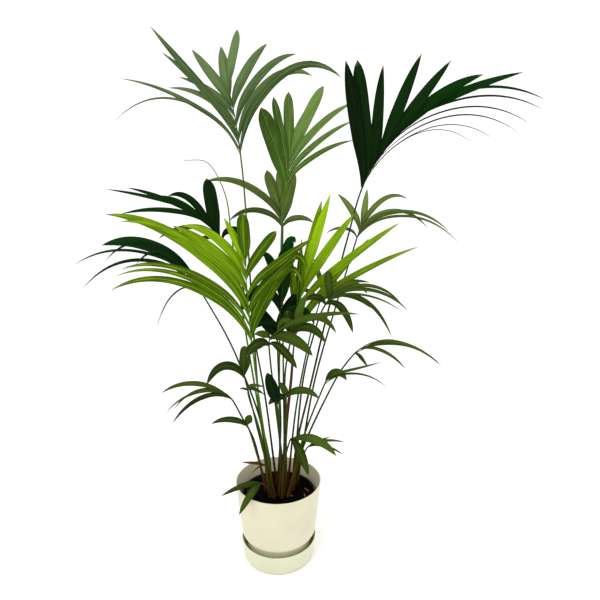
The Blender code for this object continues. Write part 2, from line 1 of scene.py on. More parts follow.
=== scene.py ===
"""A potted feather palm: fine leaves, stems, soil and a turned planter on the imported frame.

The file is laid out as an add-on and is run as a script. Metres, +Z up, with the front at -Y.
"""

import random
from collections import namedtuple
from math import acos, cos, degrees, pi, radians, sin

import bpy
import numpy as np
from bpy.props import FloatProperty, FloatVectorProperty, IntProperty, PointerProperty
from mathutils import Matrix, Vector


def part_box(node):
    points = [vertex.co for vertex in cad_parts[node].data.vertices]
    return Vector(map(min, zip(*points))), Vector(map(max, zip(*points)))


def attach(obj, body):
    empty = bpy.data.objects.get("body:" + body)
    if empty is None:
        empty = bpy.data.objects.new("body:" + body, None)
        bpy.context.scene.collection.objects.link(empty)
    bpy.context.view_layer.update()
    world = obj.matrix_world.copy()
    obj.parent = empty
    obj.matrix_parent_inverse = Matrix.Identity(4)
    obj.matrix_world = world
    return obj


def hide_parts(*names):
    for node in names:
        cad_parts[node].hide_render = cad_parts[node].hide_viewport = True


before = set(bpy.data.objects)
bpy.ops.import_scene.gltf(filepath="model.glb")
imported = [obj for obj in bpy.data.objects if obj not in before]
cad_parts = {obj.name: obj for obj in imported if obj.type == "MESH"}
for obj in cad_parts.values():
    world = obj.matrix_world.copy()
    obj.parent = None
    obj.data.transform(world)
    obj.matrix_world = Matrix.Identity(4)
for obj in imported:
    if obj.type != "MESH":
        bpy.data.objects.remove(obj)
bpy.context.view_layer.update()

bl_info = {
    "name": "Potted Feather Palm",
    "version": (1, 0, 0),
    "blender": (4, 5, 0),
    "location": "View3D > Sidebar > Palm",
    "description": "Dresses a packed palm with leaves, stems, soil and a turned planter",
    "category": "Object",
}

MM = 0.001

# The plan of the plant, as in the part's own source. Each frond is a stalk from the soil to its
# lowest leaflet, a rib from there to its tip, and the leaflets on each side of the rib. Points
# are (right, back, above the soil) in metres. The first stretch of the stalk, up to the height
# called culm, is the seedling's stem. A leaflet is (degrees from upright to the right, length in
# metres, droop, width in millimetres), and BLUNT where its end is broad, HOOKED where it bends
# over only near its tip. The last four are angles in degrees: the blade's face is turned to the
# right and tilted up, its leaflets lift off that face, and each side's leaflets roll.
BLUNT, HOOKED = 1, 2
Frond = namedtuple("Frond", "name tone culm stalk rib left right turn tilt lift roll")
FRONDS = [
    Frond(
        "frond_top_left", "mid", 0.13,
        [(-0.025, 0, 0), (-0.034, 0.004, 0.130), (-0.067, 0.020, 0.337), (-0.100, 0.050, 0.939),
         (-0.113, 0.050, 1.124)],
        [(-0.136, 0.080, 1.269), (-0.159, 0.100, 1.347)],
        [(-46, 0.52, 1.35, 11), (-54, 0.47, 0.5, 17), (-41, 0.46, 0.05, 30), (-43, 0.36, 0.25, 24),
         (-50, 0.27, 0.7, 24), (-47, 0.23, 0.6, 26), (-38, 0.22, 0.1, 36), (-8, 0.15, 0, 40)],
        [(32, 0.47, 1.35, 28), (33, 0.35, 1.2, 30), (34, 0.30, 0.9, 32), (30, 0.22, 0.6, 34),
         (16, 0.18, 0.1, 32, BLUNT)],
        -15, 10, 12, (20, 10),
    ),
    Frond(
        "frond_top_middle", "fresh", 0,
        [(0.006, 0.040, 0), (0.002, 0.060, 0.317), (0.012, 0.120, 0.902), (0.027, 0.140, 1.037)],
        [(0.035, 0.150, 1.101), (0.041, 0.160, 1.165)],
        [(-20, 0.27, 0.1, 60, BLUNT), (-12, 0.26, 0.05, 30, BLUNT), (-1, 0.22, 0, 38, BLUNT)],
        [(50, 0.28, 0.55, 20), (44, 0.30, 0.5, 24), (37, 0.32, 0.6, 28), (27, 0.27, 0.1, 40, BLUNT),
         (22, 0.14, 0.1, 26)],
        5, 10, 12, (0, 0),
    ),
    Frond(
        "frond_top_right", "deep", 0.20,
        [(0.050, 0.022, 0), (0.066, 0.022, 0.170), (0.108, 0, 0.373), (0.156, -0.020, 0.602),
         (0.218, -0.030, 0.856), (0.264, -0.030, 1.025)],
        [(0.326, -0.020, 1.132), (0.408, 0, 1.237)],
        [(-17, 0.35, 0, 48), (-13, 0.33, 0.05, 44, BLUNT), (-1, 0.29, 0, 42), (17, 0.31, 0.1, 42),
         (32, 0.30, 0.2, 36), (45, 0.31, 0.5, 38), (62, 0.38, 0.3, 28)],
        [(38, 0.38, 1.3, 5), (46, 0.42, 1.25, 5), (51, 0.46, 1.2, 6), (56, 0.46, 1.1, 9),
         (60, 0.46, 0.95, 12), (63, 0.43, 0.9, 13)],
        10, 0, 12, (0, 55),
    ),
    Frond(
        "frond_front_left", "bright", 0,
        [(-0.016, -0.022, 0), (-0.051, -0.040, 0.284), (-0.075, -0.080, 0.552)],
        [(-0.082, -0.120, 0.731), (-0.081, -0.160, 0.829)],
        [(-48, 0.52, 1.1, 26), (-47, 0.50, 1.0, 18), (-48, 0.47, 0.95, 22), (-42, 0.55, 0.75, 38),
         (-43, 0.48, 0.8, 26), (-42, 0.30, 0.5, 36), (-34, 0.26, 0.9, 30), (-22, 0.15, 0.3, 26)],
        [(30, 0.32, 3.2, 36, HOOKED), (33, 0.34, 3.6, 40, HOOKED), (40, 0.24, 0.3, 36, BLUNT),
         (52, 0.27, 0.15, 28), (34, 0.17, 0.3, 30, BLUNT), (-2, 0.13, 0.1, 38, BLUNT)],
        -10, 10, 12, (0, 0),
    ),
    Frond(
        "frond_left", "deep", 0,
        [(-0.040, 0.012, 0), (-0.058, 0.020, 0.229), (-0.126, 0.050, 0.422), (-0.179, 0.050, 0.550),
         (-0.251, 0.040, 0.690)],
        [(-0.285, 0.050, 0.751)],
        [(-88, 0.25, 3.0, 6), (-62, 0.50, 1.4, 14), (-62, 0.50, 1.0, 12), (-52, 0.37, 0.9, 46)],
        [(-36, 0.40, 1.5, 14), (-40, 0.24, 1.6, 14)],
        -25, 0, 12, (0, 0),
    ),
    Frond(
        "frond_back_left", "deep", 0,
        [(-0.008, 0.032, 0), (-0.061, 0.100, 0.372), (-0.150, 0.170, 0.771), (-0.200, 0.200, 0.851)],
        [(-0.300, 0.230, 0.951)],
        [(-80, 0.15, 1.0, 16), (-80, 0.24, 0.9, 20), (-78, 0.34, 0.5, 22)],
        [(66, 0.16, 1.5, 30), (-7, 0.21, 0.05, 56, BLUNT), (-28, 0.24, 1.1, 32), (-47, 0.28, 0.9, 25),
         (-64, 0.33, 0.3, 20), (-76, 0.38, 0.15, 16)],
        -20, 10, 12, (0, 0),
    ),
    Frond(
        "frond_back", "olive", 0,
        [(0.020, 0.054, 0), (0.015, 0.120, 0.371), (0.010, 0.200, 0.721), (0.012, 0.240, 0.901)],
        [(0.010, 0.270, 0.951)],
        [(-55, 0.24, 1.4, 24), (-44, 0.37, 1.0, 30), (-20, 0.19, 0, 46, BLUNT)],
        [(62, 0.13, 1.2, 24), (14, 0.19, 0, 50, BLUNT), (-3, 0.18, 0, 42, BLUNT)],
        0, 20, 12, (0, 0),
    ),
    Frond(
        "frond_front_right", "bright", 0.46,
        [(0.015, 0.015, 0), (0.026, 0.020, 0.208), (0.044, 0.020, 0.390), (0.056, -0.020, 0.540)],
        [(0.066, -0.045, 0.640), (0.088, -0.080, 0.756)],
        [(4, 0.34, 0, 26), (-6, 0.26, 0.05, 26), (12, 0.30, 0, 34)],
        [(36, 0.40, 0.1, 28), (52, 0.46, 0.3, 24), (46, 0.42, 0.2, 28), (32, 0.31, 0.1, 34),
         (17, 0.27, 0, 32)],
        0, 0, 12, (0, 0),
    ),
    Frond(
        "frond_right", "olive", 0,
        [(0.064, 0.038, 0), (0.120, 0.050, 0.354), (0.192, 0.040, 0.636), (0.259, 0.030, 0.872)],
        [(0.275, 0.040, 0.911)],
        [(-60, 0.12, 1.2, 12), (-30, 0.14, 0.5, 24)],
        [(66, 0.36, 1.4, 10), (60, 0.33, 1.4, 14), (52, 0.26, 1.6, 16), (30, 0.20, 1.2, 20),
         (5, 0.12, 0.2, 24)],
        0, 10, 12, (0, 0),
    ),
    Frond(
        "frond_right_middle", "dark", 0,
        [(0.050, -0.004, 0), (0.081, -0.060, 0.396), (0.124, -0.100, 0.608), (0.150, -0.118, 0.680)],
        [(0.168, -0.120, 0.705)],
        [(-50, 0.08, 1.5, 22), (-4, 0.09, 0.1, 28, BLUNT)],
        [(100, 0.14, 4.0, 26), (80, 0.27, 2.6, 15), (86, 0.24, 0.9, 8), (76, 0.27, 1.3, 13),
         (66, 0.25, 1.5, 13), (45, 0.14, 1.8, 20)],
        10, 20, 12, (0, 0),
    ),
    Frond(
        "frond_right_low", "dark", 0,
        [(0.040, -0.022, 0), (0.085, -0.040, 0.181), (0.183, -0.080, 0.424), (0.239, -0.100, 0.519)],
        [(0.280, -0.100, 0.553)],
        [(84, 0.26, 0.8, 5), (90, 0.28, 1.0, 12)],
        [(150, 0.06, 0.6, 16), (104, 0.17, 1.2, 13), (98, 0.27, 1.0, 12)],
        20, 30, 12, (0, 0),
    ),
    Frond(
        "young_right", "dark", 0,
        [(0.032, -0.040, 0), (0.085, -0.062, 0.223), (0.149, -0.120, 0.429)],
        [(0.165, -0.130, 0.461)],
        [(80, 0.23, 1.2, 8), (88, 0.18, -0.1, 10)],
        [(50, 0.10, 2.2, 28)],
        20, 30, 12, (0, 0),
    ),
    Frond(
        "young_left", "dark", 0,
        [(-0.044, -0.010, 0), (-0.074, -0.050, 0.200), (-0.108, -0.085, 0.303),
         (-0.139, -0.100, 0.375)],
        [(-0.170, -0.110, 0.409)],
        [(-98, 0.24, 1.6, 18), (-92, 0.24, 1.3, 11), (-80, 0.23, 1.0, 18)],
        [(-84, 0.22, 1.7, 12)],
        -20, 30, 12, (0, 0),
    ),
    Frond(
        "frond_back_right", "dark", 0,
        [(0.032, 0.046, 0), (0.060, 0.110, 0.250), (0.110, 0.170, 0.500), (0.145, 0.200, 0.620)],
        [(0.170, 0.220, 0.670)],
        [(-50, 0.15, 0.8, 20), (-15, 0.15, 0.3, 24)],
        [(80, 0.22, 1.2, 16), (60, 0.20, 0.8, 20), (30, 0.15, 0.4, 22)],
        10, 20, 12, (0, 0),
    ),
    Frond(
        "pair_left_middle", "dark", 0,
        [(-0.010, -0.036, 0), (-0.054, -0.050, 0.203), (-0.082, -0.060, 0.341),
         (-0.100, -0.070, 0.430)],
        [(-0.104, -0.078, 0.462)],
        [(-42, 0.17, 2.4, 30)],
        [(4, 0.10, 0.1, 38, BLUNT)],
        0, 10, 12, (0, 0),
    ),
    Frond(
        "pair_left_low", "dark", 0,
        [(-0.032, -0.026, 0), (-0.055, -0.050, 0.110), (-0.090, -0.090, 0.275)],
        [(-0.104, -0.092, 0.290)],
        [(-66, 0.13, 1.0, 22)],
        [(20, 0.04, 0.3, 28)],
        -10, 10, 12, (0, 0),
    ),
    Frond(
        "young_left_inner", "dark", 0,
        [(-0.028, -0.044, 0), (-0.050, -0.067, 0.223), (-0.081, -0.112, 0.376),
         (-0.086, -0.118, 0.410)],
        [(-0.088, -0.120, 0.420)],
        [(-60, 0.03, 1.0, 8)],
        [(95, 0.06, 0.8, 12), (80, 0.06, 0.6, 12)],
        0, 20, 12, (0, 0),
    ),
    Frond(
        "young_centre_high", "dark", 0,
        [(0.010, -0.012, 0), (0.017, -0.030, 0.098), (-0.001, -0.100, 0.346), (-0.015, -0.170, 0.568)],
        [(0.000, -0.184, 0.606)],
        [(-75, 0.09, 2.6, 34), (-60, 0.05, 0.9, 24)],
        [(125, 0.12, 0.8, 28), (92, 0.15, 1.3, 36), (68, 0.26, 0.55, 18)],
        0, 20, 12, (0, 0),
    ),
    Frond(
        "frond_centre", "deep", 0,
        [(-0.004, 0.004, 0), (0.010, -0.020, 0.250), (0.006, -0.040, 0.420), (0.004, -0.060, 0.550)],
        [(0.014, -0.082, 0.640), (0.022, -0.098, 0.710), (0.022, -0.106, 0.760)],
        [(-36, 0.15, 0.1, 46), (-58, 0.11, 1.8, 26), (-30, 0.20, 2.4, 34),
         (-24, 0.15, 2.4, 34, HOOKED)],
        [(24, 0.15, 0.1, 46), (44, 0.15, 2.2, 28), (4, 0.17, 0.1, 46, BLUNT),
         (12, 0.15, 2.4, 40, HOOKED)],
        0, 15, 12, (0, 0),
    ),
    Frond(
        "young_centre_top", "dark", 0,
        [(0.030, 0.002, 0), (0.027, -0.030, 0.120), (0.026, -0.082, 0.300), (0.030, -0.125, 0.470),
         (0.050, -0.140, 0.590)],
        [(0.060, -0.144, 0.620)],
        [(-12, 0.075, 0.1, 38, BLUNT), (-30, 0.08, 2.4, 22)],
        [(62, 0.13, 2.3, 30), (48, 0.17, 2.1, 26), (14, 0.11, 0.8, 26)],
        5, 20, 12, (0, 0),
    ),
    Frond(
        "leaf_centre", "deep", 0,
        [(0.002, -0.032, 0), (0.011, -0.050, 0.110), (0.010, -0.110, 0.260), (0.006, -0.160, 0.380)],
        [(0.002, -0.172, 0.405)],
        [(-15, 0.11, 0.2, 40)],
        [],
        0, 10, 12, (0, 0),
    ),
    Frond(
        "young_centre_low", "dark", 0,
        [(0.022, -0.030, 0), (0.028, -0.040, 0.104), (0.030, -0.080, 0.268), (0.032, -0.115, 0.380)],
        [(0.036, -0.128, 0.400)],
        [(-70, 0.07, 2.0, 26), (-20, 0.05, 0.5, 24)],
        [(62, 0.12, 1.5, 26)],
        0, 20, 12, (0, 0),
    ),
    Frond(
        "pair_front", "dark", 0,
        [(0.014, -0.048, 0), (0.020, -0.060, 0.120), (0.042, -0.095, 0.232)],
        [(0.052, -0.103, 0.244)],
        [],
        [(150, 0.13, 0.8, 32), (82, 0.16, 1.5, 30)],
        0, 20, 12, (0, 0),
    ),
    Frond(
        "young_right_low", "dark", 0,
        [(0.056, 0.050, 0), (0.070, 0.058, 0.060), (0.098, 0.077, 0.112)],
        [(0.112, 0.083, 0.124)],
        [(60, 0.10, 0.3, 10)],
        [(88, 0.14, 0.8, 12), (76, 0.13, 0.5, 12)],
        0, 20, 12, (0, 0),
    ),
    Frond(
        "pair_over_rim", "dark", 0,
        [(-0.016, -0.045, 0), (-0.030, -0.056, 0.036), (-0.048, -0.075, 0.070)],
        [(-0.056, -0.083, 0.077)],
        [(-102, 0.145, 0.7, 26)],
        [(-148, 0.13, 0.7, 28)],
        0, 60, 12, (0, 0),
    ),
    Frond(
        "dried_leaf", "dry", 0,
        [(-0.040, 0.030, 0), (-0.040, 0.029, 0.044), (-0.046, 0.024, 0.075)],
        [(-0.055, 0.018, 0.085)],
        [(-100, 0.06, 1.2, 6)],
        [(-78, 0.085, 0.1, 12)],
        0, 10, 12, (0, 0),
    ),
    Frond(
        "spear", "bright", 0,
        [(-0.026, 0.024, 0), (-0.126, 0.050, 0.671), (-0.152, 0.060, 0.894)],
        [(-0.170, 0.070, 1.013), (-0.224, 0.080, 1.112), (-0.305, 0.090, 1.123)],
        [],
        [],
        0, 0, 0, (0, 0),
    ),
]

GAP = 0.3 * MM  # between pieces that touch
ROOT_CLEARANCE = 1.2 * MM  # from the top of the soil to the foot of a stalk
ROOT_BUNCHING = 1.3  # above 1, leaflets crowd towards the foot of the rib
STALK_RADIUS = 3.7 * MM
RIB_FOOT_SHARE = 0.65  # the rib's radius at its lowest leaflet, as a share of the stalk's
RIB_TIP_RADIUS = 0.9 * MM
CULM_RADIUS = 7.0 * MM  # a seedling's stem, at the soil
POT_TAPER = 0.19  # how far the growing pot leans in, for each metre down
SOIL_CROWN = 6 * MM  # how much the soil rises in the middle
SOIL_SINK = 1 * MM  # how far the lumpy surface stays below that crown
SOIL_RINGS = 34  # rings of points on the soil's surface
SOIL_WAVES = 40  # waves whose sum is the soil's lumps
STEEPEST_WAVE = 420  # radians for each metre, which is a wave 15 mm long


def length_setting(name, description, default):
    """A setting that is a length in metres."""
    return FloatProperty(name=name, description=description, default=default, unit="LENGTH")


def angle_setting(name, description, default):
    """A setting that is an angle, given here in degrees."""
    return FloatProperty(name=name, description=description, default=radians(default), subtype="ANGLE")


class PotSettings(bpy.types.PropertyGroup):
    """Sizes of the planter and its saucer."""

    sides: IntProperty(name="Sides", description="Steps round the turned pieces", default=160, min=24)
    rim_round: length_setting("Rim rounding", "Radius of the moulded edges", 0.9 * MM)
    planter_wall: length_setting("Planter wall", "Thickness of the planter's wall", 3.5 * MM)
    saucer_wall: length_setting("Saucer wall", "Thickness of the saucer's wall", 3.0 * MM)


class SoilSettings(bpy.types.PropertyGroup):
    """How coarse the potting soil is."""

    crumbs: IntProperty(name="Crumbs", description="Loose crumbs on the soil", default=1500, min=0)
    crumb_size: length_setting("Crumb size", "Size that the crumbs are shares of", 3.4 * MM)
    chips: IntProperty(name="Bark chips", description="Larger chips of bark", default=22, min=0)


class LeafSettings(bpy.types.PropertyGroup):
    """Shape of the leaflets."""

    thickness: length_setting("Thickness", "Thickness of a leaflet", 0.45 * MM)
    fold: angle_setting("Fold", "How far each half of a leaflet folds down from its midrib", 20)
    twist: angle_setting("Twist", "Most that a leaflet turns towards its tip", 24)


class StageSettings(bpy.types.PropertyGroup):
    """Where the camera stands, and the light."""

    camera_place: FloatVectorProperty(
        name="Camera place",
        description="Where the camera stands",
        default=(0.075, -1.430, 1.1576),
        unit="LENGTH",
    )
    camera_pitch: angle_setting("Camera pitch", "How far the camera looks down", 9.86)
    lens: FloatProperty(name="Lens", description="Focal length in millimetres", default=26.84)
    world_light: FloatProperty(
        name="Room light", description="Strength of the light from all round", default=1.12
    )
    key_light: FloatProperty(name="Key light", description="Main lamp's power in watts", default=36.0)
    fill_light: FloatProperty(name="Fill light", description="Second lamp's power in watts", default=8.0)


# ---------------------------------------------------------------- colours and materials


def hex_colour(text):
    """The linear colour of an sRGB hex value."""
    shares = [int(text[i : i + 2], 16) / 255 for i in (1, 3, 5)]
    linear = [c / 12.92 if c <= 0.04045 else ((c + 0.055) / 1.055) ** 2.4 for c in shares]
    return (*linear, 1.0)


def new_material(name):
    """An empty material with its Principled shader and that shader's tree."""
    found = bpy.data.materials.new(name)
    found.use_nodes = True
    return found, found.node_tree, found.node_tree.nodes["Principled BSDF"]


def add_node(tree, kind, settings=None, **links):
    """Adds a node. A setting is an attribute or an input's value, and a link feeds an input."""
    node = tree.nodes.new(kind)
    for key, value in (settings or {}).items():
        if isinstance(key, str) and hasattr(node, key):
            setattr(node, key, value)
        else:
            node.inputs[key].default_value = value
    for key, socket in links.items():
        name = key.replace("_", " ")
        place = int(key[1:]) if key[0] == "i" and key[1:].isdigit() else name
        tree.links.new(socket, node.inputs[place])
    return node


def noise_node(tree, where, scale=1.0, detail=2.0, roughness=0.5):
    """Cloudy noise over a vector."""
    settings = {"Scale": scale, "Detail": detail, "Roughness": roughness}
    return add_node(tree, "ShaderNodeTexNoise", settings, Vector=where).outputs["Fac"]


def leaf_map(tree, stretch):
    """A strip's own map, in metres across and along it and its share of the length, and that
    map stretched."""
    plain = add_node(tree, "ShaderNodeAttribute", {"attribute_name": "leaf"}).outputs["Vector"]
    return plain, add_node(tree, "ShaderNodeMapping", {"Scale": stretch}, Vector=plain).outputs["Vector"]


def range_node(tree, value, low, high, to_low, to_high):
    """Maps a value from one range to another, held within it."""
    settings = {"From Min": low, "From Max": high, "To Min": to_low, "To Max": to_high}
    return add_node(tree, "ShaderNodeMapRange", settings, Value=value).outputs["Result"]


def blend_node(tree, factor, first, second):
    """Mixes two colours, each a socket or a hex value."""
    node = add_node(tree, "ShaderNodeMix", {"data_type": "RGBA"})
    for place, colour in ((6, first), (7, second)):
        if isinstance(colour, str):
            node.inputs[place].default_value = hex_colour(colour)
        else:
            tree.links.new(colour, node.inputs[place])
    if isinstance(factor, (int, float)):
        node.inputs[0].default_value = factor
    else:
        tree.links.new(factor, node.inputs[0])
    return node.outputs[2]


def coat(tree, shader, inputs):
    """Sets a shader's inputs, each to a value or to what a socket gives."""
    for name, value in inputs.items():
        if isinstance(value, bpy.types.NodeSocket):
            tree.links.new(value, shader.inputs[name])
        else:
            shader.inputs[name].default_value = value


def bump_node(tree, shader, height, depth, strength):
    """Adds relief of a depth in metres to a shader."""
    settings = {"Strength": strength, "Distance": depth}
    made = add_node(tree, "ShaderNodeBump", settings, Height=height)
    tree.links.new(made.outputs["Normal"], shader.inputs["Normal"])


# Fresh palm leaf: a waxy skin over green tissue. Each tone is (painted shade, painted light,
# painted shade at the leaflet's foot, vein), from the black-green of old leaves to the
# yellow-green of young soft ones. A frond's tone is partly painted light too: lighter where
# light falls on or shines through the frond, darker where the plant shades it.
LEAF_TONES = {
    "deep": ("#000600", "#043004", "#001000", "#0e300a"),
    "dark": ("#041200", "#425614", "#0c2000", "#4c6020"),
    "mid": ("#223410", "#62784a", "#1e3808", "#788c5c"),
    "fresh": ("#284400", "#7e9c50", "#2e5400", "#90ac60"),
    "bright": ("#1c3800", "#8cb40a", "#284c00", "#9cbc1c"),
    "olive": ("#162800", "#6c8038", "#142800", "#788848"),
    "dry": ("#301a0a", "#6c4222", "#281406", "#8a5e30"),
}

# How much darker the leaflets are on a frond's left and right where the plant shades them.
SHADED = {
    "frond_front_left": (0.12, 0.8),
    "frond_top_middle": (0.3, 0.0),
    "frond_front_right": (0.25, 0.0),
}


def leaf_material(tone, under):
    """Waxed leaf: the skin gives broad soft highlights, and fine parallel veins break them."""
    shadowed, lit, shaded_foot, vein = LEAF_TONES[tone]
    made, tree, shader = new_material(f"waxed_leaf_{tone}" + ("_underside" if under else ""))
    # Cloudy patches about 60 mm long and 8 mm wide, drawn out along the leaflet.
    leaf, stretched = leaf_map(tree, (120.0, 16.0, 1.0))
    cloud = noise_node(tree, stretched, detail=3.0)
    place = add_node(tree, "ShaderNodeSeparateXYZ", Vector=leaf)
    across, share = (place.outputs[axis] for axis in "XZ")
    tint = add_node(tree, "ShaderNodeAttribute", {"attribute_name": "tint"}).outputs["Fac"]
    shade = add_node(tree, "ShaderNodeMath", {"operation": "ADD"}, i0=cloud, i1=tint)
    # Painted light and shade: each leaflet's stored share of light, mottled by the cloudy patches, picks
    # between the shadowed and lit colours.
    body = blend_node(tree, range_node(tree, shade.outputs[0], 0.5, 1.6, 0, 1), shadowed, lit)
    # Painted shade: each leaflet darkens towards its foot by the rib, where less light reaches it.
    body = blend_node(tree, range_node(tree, share, 0.0, 0.45, 0.8, 0.0), body, shaded_foot)
    # Veins run the length of the leaflet, 1.7 mm apart; the real ones are half that.
    stripes = add_node(
        tree,
        "ShaderNodeTexWave",
        {"bands_direction": "X", "Scale": 2 * pi / 20 / (1.7 * MM), "Distortion": 0.6, "Detail": 1.0},
        Vector=leaf,
    )
    lines = range_node(tree, stripes.outputs["Fac"], 0.55, 1.0, 0.0, 0.22)
    body = blend_node(tree, lines, body, vein)
    aside = add_node(tree, "ShaderNodeMath", {"operation": "ABSOLUTE"}, i0=across)
    midrib = range_node(tree, aside.outputs[0], 0.35 * MM, 0.9 * MM, 0.6, 0.0)
    body = blend_node(tree, midrib, body, vein)
    # The last stretch of many leaflets has dried to straw and brown.
    ragged = add_node(tree, "ShaderNodeMath", {"operation": "MULTIPLY_ADD", 1: 0.10}, i0=cloud, i2=share)
    dried = range_node(tree, ragged.outputs[0], 1.005, 1.035, 0.0, 0.85)
    body = blend_node(tree, dried, body, "#7a5a30")
    if under:
        body = blend_node(tree, 0.015, body, "#7c9460")
    rough, gleam = (0.55, 0.02) if under else (0.42, 0.05)
    coat(tree, shader, {"Base Color": body, "Roughness": rough, "IOR": 1.45, "Specular IOR Level": gleam})
    bump_node(tree, shader, stripes.outputs["Fac"], 0.12 * MM, 0.5)
    return made


def stalk_material(tone):
    """Green leaf stalk: smooth and slightly waxed, streaked lengthwise, browner at its foot."""
    dark, light, foot = {
        "deep": ("#0e2004", "#2c4410", "#4c3016"),
        "dark": ("#122400", "#344c0e", "#4a2e14"),
        "mid": ("#203c0c", "#466420", "#34400c"),
        "fresh": ("#2c4c0c", "#567a24", "#3c4210"),
        "bright": ("#2c5204", "#5c8418", "#42401a"),
        "olive": ("#1e2c0c", "#3e4c20", "#3c3014"),
        "dry": ("#2e1c0e", "#6a4826", "#2a180c"),
    }[tone]
    made, tree, shader = new_material(f"green_stalk_{tone}")
    # Streaks 1.2 mm wide and about 40 mm long.
    leaf, stretched = leaf_map(tree, (800.0, 25.0, 0.0))
    streak = noise_node(tree, stretched)
    body = blend_node(tree, range_node(tree, streak, 0.3, 0.7, 0, 1), dark, light)
    place = add_node(tree, "ShaderNodeSeparateXYZ", Vector=leaf)
    lowest = range_node(tree, place.outputs["Y"], 0.04, 0.22, 0.85, 0.0)
    body = blend_node(tree, lowest, body, foot)
    coat(tree, shader, {"Base Color": body, "Roughness": 0.45, "IOR": 1.45, "Specular IOR Level": 0.04})
    bump_node(tree, shader, streak, 0.3 * MM, 0.4)
    return made


def culm_material(name, dark, light, green):
    """Seedling stem wrapped in old leaf bases: brown fibres on a green-brown ground, and dull."""
    made, tree, shader = new_material(name)
    # Fibres 0.9 mm wide and some 50 mm long.
    leaf, stretched = leaf_map(tree, (1100.0, 20.0, 0.0))
    fibre = noise_node(tree, stretched, detail=4.0, roughness=0.6)
    body = blend_node(tree, range_node(tree, fibre, 0.32, 0.66, 0, 1), dark, light)
    patches = noise_node(tree, leaf, 22.0)
    body = blend_node(tree, range_node(tree, patches, 0.45, 0.62, 0, 0.7), body, green)
    coat(tree, shader, {"Base Color": body, "Roughness": 0.72, "Specular IOR Level": 0.06})
    bump_node(tree, shader, fibre, 0.6 * MM, 0.8)
    return made


def moulded_material(name, colour, shade, roughness):
    """Injection-moulded polypropylene: satin, nearly even, faintly grained, and letting a little
    light through its wall."""
    made, tree, shader = new_material(name)
    where = add_node(tree, "ShaderNodeTexCoord").outputs["Object"]
    drift = noise_node(tree, where, 9.0)
    body = blend_node(tree, range_node(tree, drift, 0.35, 0.65, 0, 1), shade, colour)
    # The mould's grain is 0.3 mm; 0.8 mm is the finest that shows.
    grain = noise_node(tree, where, 1 / (0.8 * MM))
    rough = range_node(tree, grain, 0.3, 0.7, roughness - 0.05, roughness + 0.06)
    glow = {"Subsurface Weight": 0.5, "Subsurface Radius": (1.0, 0.95, 0.7), "Subsurface Scale": 4 * MM}
    coat(tree, shader, {"Base Color": body, "Roughness": rough, "IOR": 1.49, **glow})
    bump_node(tree, shader, grain, 0.05 * MM, 0.5)
    return made


def soil_material(name, dark, light):
    """Moist peat potting soil: nearly black, with brown fibres and a damp gleam here and there."""
    made, tree, shader = new_material(name)
    where = add_node(tree, "ShaderNodeTexCoord").outputs["Object"]
    clod = noise_node(tree, where, 1 / (6 * MM), 5.0, 0.65)
    body = blend_node(tree, range_node(tree, clod, 0.42, 0.72, 0, 1), dark, light)
    damp = range_node(tree, clod, 0.35, 0.6, 0.62, 0.95)
    coat(tree, shader, {"Base Color": body, "Roughness": damp, "Specular IOR Level": 0.04})
    bump_node(tree, shader, clod, 1.5 * MM, 0.9)
    return made


def bark_material():
    """Composted bark chips: red-brown, ridged and dry."""
    made, tree, shader = new_material("bark_chip")
    where = add_node(tree, "ShaderNodeTexCoord").outputs["Object"]
    ridge = noise_node(tree, where, 1 / (3 * MM), 4.0)
    body = blend_node(tree, range_node(tree, ridge, 0.35, 0.65, 0, 1), "#3a1c0c", "#8a5220")
    coat(tree, shader, {"Base Color": body, "Roughness": 0.8})
    bump_node(tree, shader, ridge, 0.6 * MM, 0.7)
    return made


# ---------------------------------------------------------------- shaping


def deselect():
    """Leaves edit mode and selects nothing."""
    if bpy.context.object and bpy.context.object.mode != "OBJECT":
        bpy.ops.object.mode_set(mode="OBJECT")
    bpy.ops.object.select_all(action="DESELECT")


def select_only(*objects):
    """Selects these objects, the first as the active one."""
    deselect()
    for each in objects:
        each.select_set(True)
    bpy.context.view_layer.objects.active = objects[0]


def apply_modifier(piece, kind, **settings):
    """Adds a modifier to a piece and applies it."""
    select_only(piece)
    modifier = piece.modifiers.new(kind.title(), kind)
    for key, value in settings.items():
        setattr(modifier, key, value)
    bpy.ops.object.modifier_apply(modifier=modifier.name)


def settle(piece, name):
    """Names a finished piece, and puts its place into its mesh."""
    select_only(piece)
    bpy.ops.object.transform_apply(location=True, rotation=True, scale=True)
    piece.name = name
    piece.data.name = name


def finish_piece(piece, name, node, materials=()):
    """A finished piece rides on the plant and stands for its CAD node."""
    settle(piece, name)
    if materials:
        piece.data.materials.clear()
        for material in materials:
            piece.data.materials.append(material)
    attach(piece, "root")
    if node:
        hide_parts(node)


def arc(centre, radius, begin, end, steps):
    """Points (r, z) along an arc, with its angles in degrees from the outward direction."""
    angles = np.radians(np.linspace(begin, end, steps + 1))
    return [(centre[0] + radius * cos(a), centre[1] + radius * sin(a)) for a in angles]


def turned_piece(outline, sides):
    """A turned body: a disc drawn up, out and in again along an outline of (r, z)."""
    deselect()
    radius, height = outline[0]
    bpy.ops.mesh.primitive_circle_add(
        vertices=sides, radius=radius, fill_type="NGON", location=(0, 0, height)
    )
    piece = bpy.context.object
    bpy.ops.object.mode_set(mode="EDIT")
    bpy.ops.mesh.select_all(action="SELECT")
    for (before, low), (after, high) in zip(outline, outline[1:]):
        bpy.ops.mesh.extrude_region_move(TRANSFORM_OT_translate={"value": (0, 0, high - low)})
        scale = after / before
        bpy.ops.transform.resize(value=(scale, scale, 1), center_override=(0, 0, high))
    bpy.ops.mesh.select_all(action="SELECT")
    bpy.ops.mesh.normals_make_consistent(inside=False)
    bpy.ops.object.mode_set(mode="OBJECT")
    return piece


